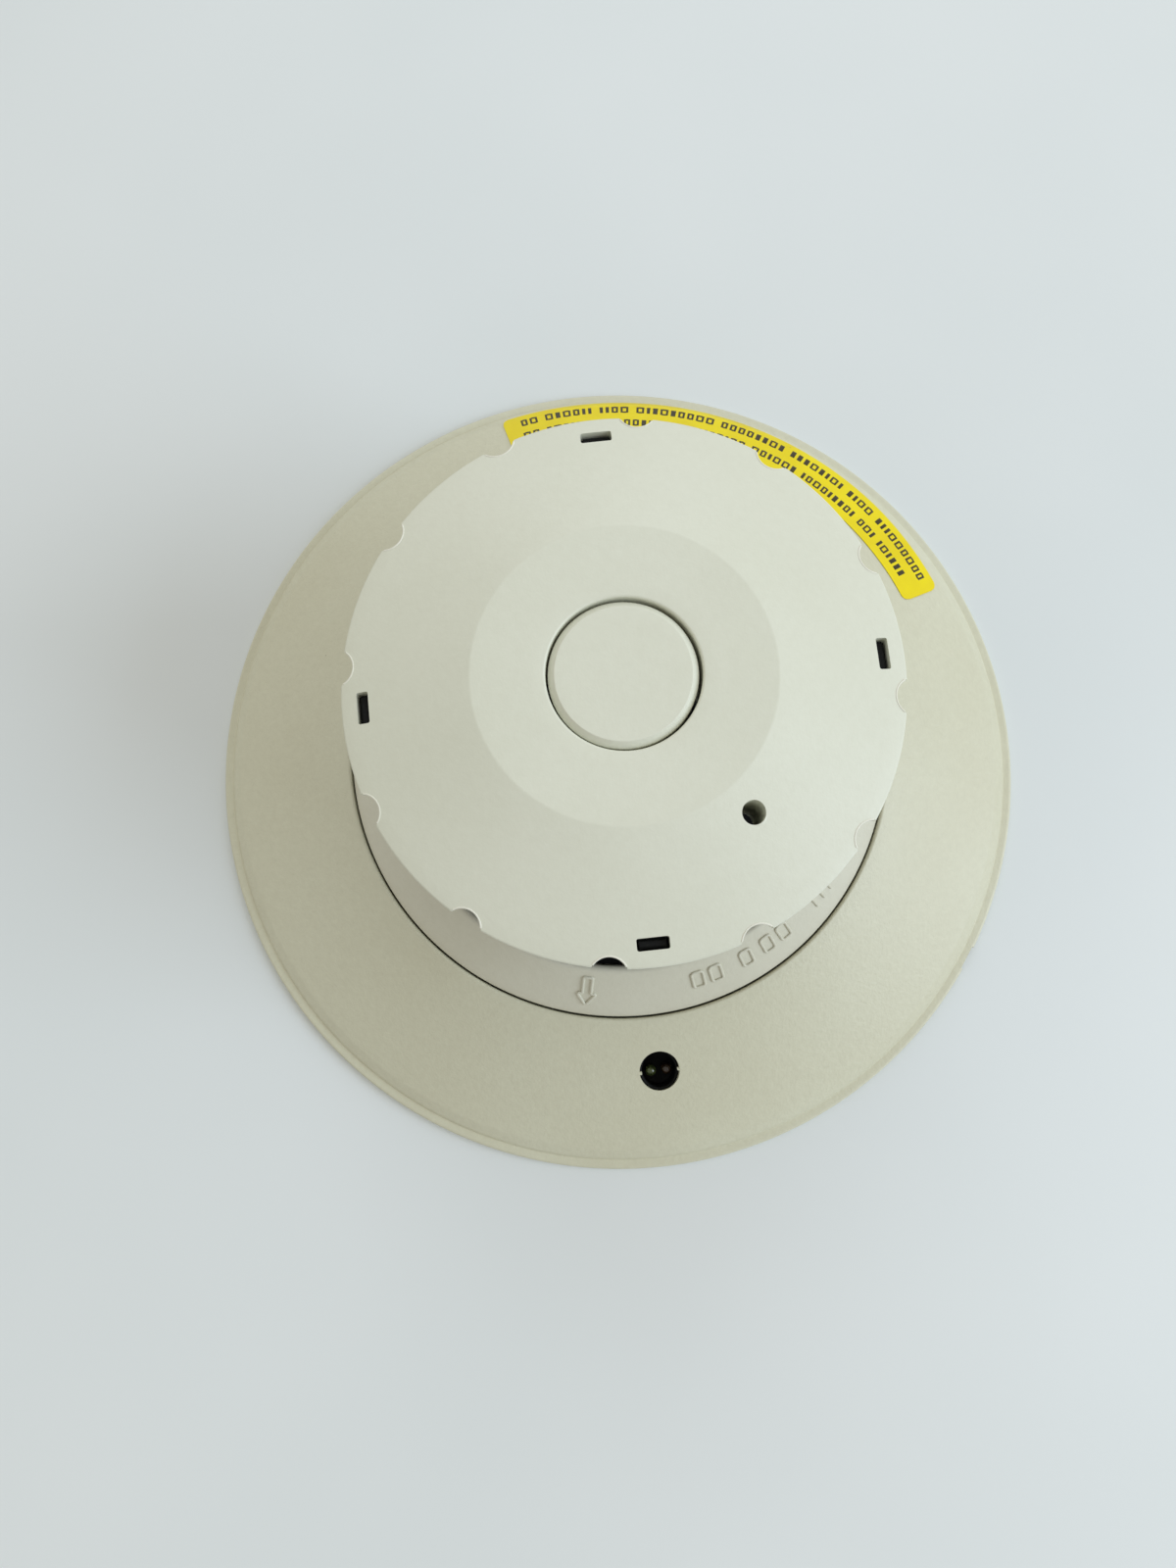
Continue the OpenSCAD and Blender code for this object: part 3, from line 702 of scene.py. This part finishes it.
def tally_marks():
    """Plain moulded frames and strokes in place of lettering, each a fine bead, half sunk in the slope."""
    beads = []
    for angle in FRAME_ANGLES:
        flat = split_long(rounded([(0.2, -1.0, 0.5), (3.5, -1.0, 0.5), (3.5, 1.0, 0.5), (0.2, 1.0, 0.5)], 6), 0.4)
        bead = tube("bead", np.column_stack([flat, np.full(len(flat), BEAD_LIFT)]), 0.27, 10, closed=True)
        beads.append(move_points(bead, lambda p: on_shoulder(p, angle, MARK_START_R)))
    for angle in BAR_ANGLES:
        path = np.column_stack([np.linspace(0, 3.6, 10), np.zeros(10), np.full(10, BEAD_LIFT)])
        bead = tube("bead", path, 0.27, 10)
        beads.append(move_points(bead, lambda p: on_shoulder(p, angle, MARK_START_R)))
    return join("raised_bars", beads)


def screen_wires(name, upright):
    """Insect cloth. Upright wires stand at equal angles and ring wires lie at equal heights; each wire weaves in
    and out by its own thickness at every crossing, so neighbours alternate. Cloth of this kind often has a pitch
    near 0.5 mm; it is drawn at 1.25 mm to show."""
    radius, wire, low, high, pitch = 33.55, 0.15, 16.8, 56.5, 1.25
    around = int(round(TAU * radius / pitch / 2)) * 2
    levels = int(round((high - low) / pitch)) + 1
    i, k = np.meshgrid(np.arange(around), np.arange(levels), indexing="ij")
    sign = np.where((i + k) % 2 == 0, 1.0, -1.0) * (1 if upright else -1)
    r = radius + 0.8 * wire * sign
    angle, z = TAU * i / around, low + (high - low) * k / (levels - 1)
    s = np.arange(4) * TAU / 4 + TAU / 8
    if upright:
        rr = r[..., None] + wire * np.cos(s)
        aa = angle[..., None] + wire * np.sin(s) / radius
        zz = z[..., None] + 0 * s
        wires, steps, wrap = around, levels, False
    else:
        rr = (r[..., None] + wire * np.cos(s)).transpose(1, 0, 2)
        aa = (angle[..., None] + 0 * s).transpose(1, 0, 2)
        zz = (z[..., None] + wire * np.sin(s)).transpose(1, 0, 2)
        wires, steps, wrap = levels, around, True
    points = np.stack([rr * np.cos(aa), rr * np.sin(aa), zz], -1).reshape(-1, 3)
    one = grid_faces(steps, 4, wrap, True)
    faces = [tuple(f) for f in (one[None] + (np.arange(wires) * steps * 4)[:, None, None]).reshape(-1, 4)]
    if upright:
        for w in range(wires):
            first = w * steps * 4
            faces += [tuple(range(first, first + 4)), tuple(range(first + steps * 4 - 4, first + steps * 4))]
    return piece_from(name, points, faces, 70)


def screen_rims():
    """Folded metal hems at the foot and head of the insect cloth."""
    hems = [lathe(f"hem{z}", rounded([(33.3, z, 0.15), (33.3, z + 1.4, 0.2), (33.88, z + 1.4, 0.2),
                                      (33.88, z, 0.15)], 4), 192) for z in (16.42, 55.38)]
    return join("screen_hems", hems)


# ---------------------------------------------------------------- cap and button

def cap():
    """Shallow cone with a flat middle and a rounded edge, hollow below, with the button's guide tube; twelve
    half-round notches, four snap slots and the probe hole are cut through it."""
    outline = rounded([
        (37.6, 59.95, 0.2), (CAP_R, 59.95, 0.25), (CAP_R, CAP_EDGE_Z, 0.35), (PLATEAU_R, CAP_TOP_Z, 1.5),
        (BUTTON_HOLE_R, CAP_TOP_Z, 0.35), (BUTTON_HOLE_R, 56, 0.15), (12.3, 56, 0.15), (12.3, 64.8, 0.4),
        (20.6, 64.8, 1), (36.6, 60.3, 0.3)])
    shell = lathe("cap_shell", split_long(outline, 2.2), 360)
    cutters = []
    for k in range(NOTCHES):
        notch = prism(f"notch{k}", circle(NOTCH_R, 48, NOTCH_APEX_R + NOTCH_R), 55, 68)
        place = NOTCH_START + 360 / NOTCHES * k
        cutters.append(move_points(notch, lambda p: turned(p, place)))
    deep, wide = SLOT_SIZE[0] / 2, SLOT_SIZE[1] / 2
    for place in SLOT_ANGLES:
        slot = prism("slot", rounded([(SLOT_R - deep, -wide, 0.3), (SLOT_R + deep, -wide, 0.3),
                                      (SLOT_R + deep, wide, 0.3), (SLOT_R - deep, wide, 0.3)], 5), 58, 70)
        cutters.append(move_points(slot, lambda p: turned(p, place)))
    hole = prism("hole", circle(PROBE_R, 48, PROBE[0]), 50, 75)
    cutters.append(move_points(hole, lambda p: turned(p, PROBE[1])))
    return soften(carve(shell, cutters), 0.16, 45, 3)


def notch_burrs():
    """Thin flash left round the twelve notches: a fine bead along each notch's arc, at the height where the cap's
    cone meets it. Its lighter ivory is a painted highlight along the arcs."""
    burrs = []
    a = np.radians(np.linspace(102, 258, 40))
    arc = np.column_stack([NOTCH_APEX_R + NOTCH_R + NOTCH_R * np.cos(a), NOTCH_R * np.sin(a)])
    away = np.hypot(arc[:, 0], arc[:, 1])
    slope = (CAP_TOP_Z - CAP_EDGE_Z) / (CAP_R - PLATEAU_R)
    path = np.column_stack([arc, CAP_EDGE_Z + (CAP_R - away) * slope - 0.05])[away < CAP_R - 0.2]
    for k in range(NOTCHES):
        burr = tube("burr", path, 0.14, 8)
        place = NOTCH_START + 360 / NOTCHES * k
        burrs.append(move_points(burr, lambda p: turned(p, place)))
    return join("notch_burrs", burrs)


def cap_underside():
    """Locating ring, four pads that rest on the cage, the probe tube and the guide of the plunger rod."""
    parts = [lathe("locating", rounded([(32.2, 57, 0.15), (34, 57, 0.15), (34, 61.0, 0), (32.2, 61.4, 0)], 3), 160)]
    for place in SLOT_ANGLES:
        pad = prism("pad", np.array([[35.9, -3], [37.3, -3], [37.3, 3], [35.9, 3]]), RING_TOP_Z + 0.02, 60.6)
        parts.append(move_points(pad, lambda p: turned(p, place + 45)))
    probe = lathe("probe", rounded([(PROBE_R, 52, 0.2), (PROBE_R + 1.1, 52, 0.2), (PROBE_R + 1.1, 64.4, 0),
                                    (PROBE_R, 65.2, 0)], 4), 64)
    parts.append(move_points(probe, lambda p: turned(p + [PROBE[0], 0, 0], PROBE[1])))
    parts.append(lathe("guide", rounded([(2.3, 56, 0.15), (4.2, 56, 0.15), (4.2, 57.6, 0.15),
                                         (2.3, 57.6, 0.15)], 3), 64))
    for k in range(3):
        arm = prism("arm", np.array([[4, -1.0], [10.9, -1.0], [10.9, 1.0], [4, 1.0]]), 56.05, 57.55)
        place = 30 + 120 * k
        parts.append(move_points(arm, lambda p: turned(p, place)))
    return soften(join("cap_underside", parts), 0.1)


def button():
    """Round cup with a flat face, a wide bevel round it and a soft outer edge. It rests a little to one side in its
    guide, by less than the play."""
    outline = rounded([
        (0.01, CAP_TOP_Z + 0.1, 0), (BUTTON_FACE_R, CAP_TOP_Z + 0.1, 0.2), (BUTTON_R, CAP_TOP_Z - 0.85, 0.25),
        (BUTTON_R, 60.2, 0.2), (BUTTON_R - 1.4, 60.2, 0.2), (BUTTON_R - 1.4, 64.8, 0.4), (2.6, 64.8, 0.3),
        (2.6, 62.65, 0.1), (0.01, 62.65, 0)])
    cup = lathe("button_cup", split_long(outline, 1.8), 192)
    return move_points(cup, lambda p: p + [-0.1, -0.1, 0])


def dressed_copy(node, material, width=0.12):
    """A CAD node's own shape, merged and with its moulded or sheared edges rounded a little."""
    source = frame["nodes"][node]
    mesh = source.data.copy()
    work = bmesh.new()
    work.from_mesh(mesh)
    bmesh.ops.remove_doubles(work, verts=work.verts, dist=1e-6)
    bmesh.ops.dissolve_limit(work, angle_limit=math.radians(1), verts=work.verts, edges=work.edges)
    work.to_mesh(mesh)
    work.free()
    piece = bpy.data.objects.new(node + "_piece", mesh)
    bpy.context.scene.collection.objects.link(piece)
    body = next(name for name, members in frame["record"]["behaviour"]["bodies"].items() if node in members)
    slot = next(s["material_slot"] for s in frame["record"]["subparts"] if s["node"] == node)
    soften(piece, width, 50)
    return dress(piece, material, body, slot, node)


dress(flange(), CREAM, "head", "cream_abs", "flange_housing")
dress(skirt_ribs(), CREAM, "head", "cream_abs")
dress(label_film(), FILM, "head", "label_film", "warning_label")
dress(label_print(), INK, "head", "label_film")
dress(lamp_cup(), BLACK, "head", "black_abs", "lamp_bezel")
dress(lamp("lamp_left", -LAMP_Y), GREEN_LENS, "head", "green_lens", "green_lamp")
dress(lamp("lamp_right", LAMP_Y), RED_LENS, "head", "red_lens", "red_lamp")
dress(shoulder(), SHOULDER, "chamber_cover", "cream_abs", "chamber_cover")
# The cage's black is partly painted shade: its floor ring and fingers stand in for the deep shade in the inlet and
# slots.
dress(posts(), BLACK, "chamber_cover", "black_abs", "inlet_cage")
dress(arrow(), SHOULDER, "chamber_cover", "cream_abs", "direction_arrow")
dress(tally_marks(), SHOULDER, "chamber_cover", "cream_abs", "raised_marks")
# The screen's dark cloth is partly painted shade for the deep inlet.
dress(screen_wires("screen_upright_wires", True), WIRE, "chamber_cover", "screen_mesh", "insect_screen")
dress(screen_wires("screen_ring_wires", False), WIRE, "chamber_cover", "screen_mesh")
dress(screen_rims(), ZINC, "chamber_cover", "screen_mesh")
dress(cap(), IVORY, "chamber_cover", "ivory_abs", "cap_disc")
# The flash beads' lighter ivory is a painted highlight on the notch edges.
dress(notch_burrs(), FLASH_HIGHLIGHT, "chamber_cover", "ivory_abs")
dress(cap_underside(), IVORY, "chamber_cover", "ivory_abs")
dress(button(), IVORY, "test_button", "ivory_abs", "test_button")

COPIES = {
    IVORY: ["mounting_base"],
    CREAM: ["back_plate"],
    ZINC: ["terminal_plates", "terminal_screws", "back_plate_screws", "board_screws", "retaining_ring"],
    BRONZE: ["contact_clips", "contact_blades"],
    BLACK: ["chamber_base", "labyrinth", "chamber_lid", "plunger_rod"],
    EPOXY: ["microcontroller", "capacitors", "line_filter"],
    TIN: ["shield_can"],
    MASK: ["circuit_board", "lamp_board"],
}
for material, names in COPIES.items():
    for name in names:
        dressed_copy(name, material, 0.08)

for name, material in (("infrared_emitter", DARK_LENS), ("photodiode", DARK_LENS), ("lamp_leads", PVC),
                       ("return_spring", SPRING)):
    mesh = frame["nodes"][name].data
    mesh.materials.clear()
    mesh.materials.append(material)


# ---------------------------------------------------------------- floor, light and camera

def coated_board(name="white coated board"):
    """A white lacquered board: smooth, cool white, with faint cloudy unevenness."""
    made, tree, shader, place = new_material(name, 0.5, ior=1.46)
    colour = blend_colour(tree, noise(tree, place, 160, 3), "#dadfdf", "#e0e4e4")
    tree.links.new(colour, shader.inputs["Base Color"])
    relief(tree, shader, noise(tree, place, 2.5, 2), 0.01)
    return made


def floor():
    """A flat pale board well past the view, its edge far outside."""
    half = 900
    sheet = piece_from("floor", [(-half, -half, 0), (half, -half, 0), (half, half, 0), (-half, half, 0)],
                       [(0, 1, 2, 3)])
    sheet.data.materials.append(coated_board())


def area_light(name, place, size, power, colour):
    """A soft square light that faces the detector."""
    lamp_data = bpy.data.lights.new(name, "AREA")
    lamp_data.shape = "SQUARE"
    lamp_data.size = size
    lamp_data.energy = power
    lamp_data.color = linear(colour)[:3]
    light = bpy.data.objects.new(name, lamp_data)
    light.location = place
    aim = -light.location
    light.rotation_euler = aim.to_track_quat("-Z", "Y").to_euler()
    bpy.context.scene.collection.objects.link(light)


def studio():
    """Pale surroundings, a little brighter at the far side, and two broad soft window lights."""
    world = bpy.data.worlds.new("studio")
    world.use_nodes = True
    tree = world.node_tree
    way = add(tree, "ShaderNodeSeparateXYZ", Vector=add(tree, "ShaderNodeTexCoord").outputs["Generated"])
    far = maths(tree, "MULTIPLY_ADD", way.outputs["Y"], 0.16, 0.6)
    sky = tree.nodes["Background"]
    sky.inputs["Color"].default_value = linear("#fffcf3")
    tree.links.new(maths(tree, "MULTIPLY_ADD", way.outputs["X"], -0.06, far), sky.inputs["Strength"])
    bpy.context.scene.world = world
    area_light("window", (1.15, -0.27, 0.72), 0.9, 13, "#e2f0ff")
    area_light("far_window", (-0.1, 1.2, 0.8), 0.9, 4, "#e4f2ff")
    bpy.context.scene.view_settings.view_transform = "Standard"


def camera():
    """Looks down on the cap from just below its middle, through a short lens close by."""
    data = bpy.data.cameras.new("camera")
    data.lens = 24.95
    data.sensor_width = 36
    data.clip_start = 0.01
    eye = bpy.data.objects.new("camera", data)
    eye.location = (-0.0034, -0.0383, 0.2094)
    eye.rotation_euler = (math.radians(9.18), math.radians(0.6), 0)
    bpy.context.scene.collection.objects.link(eye)
    bpy.context.scene.camera = eye


floor()
studio()
camera()
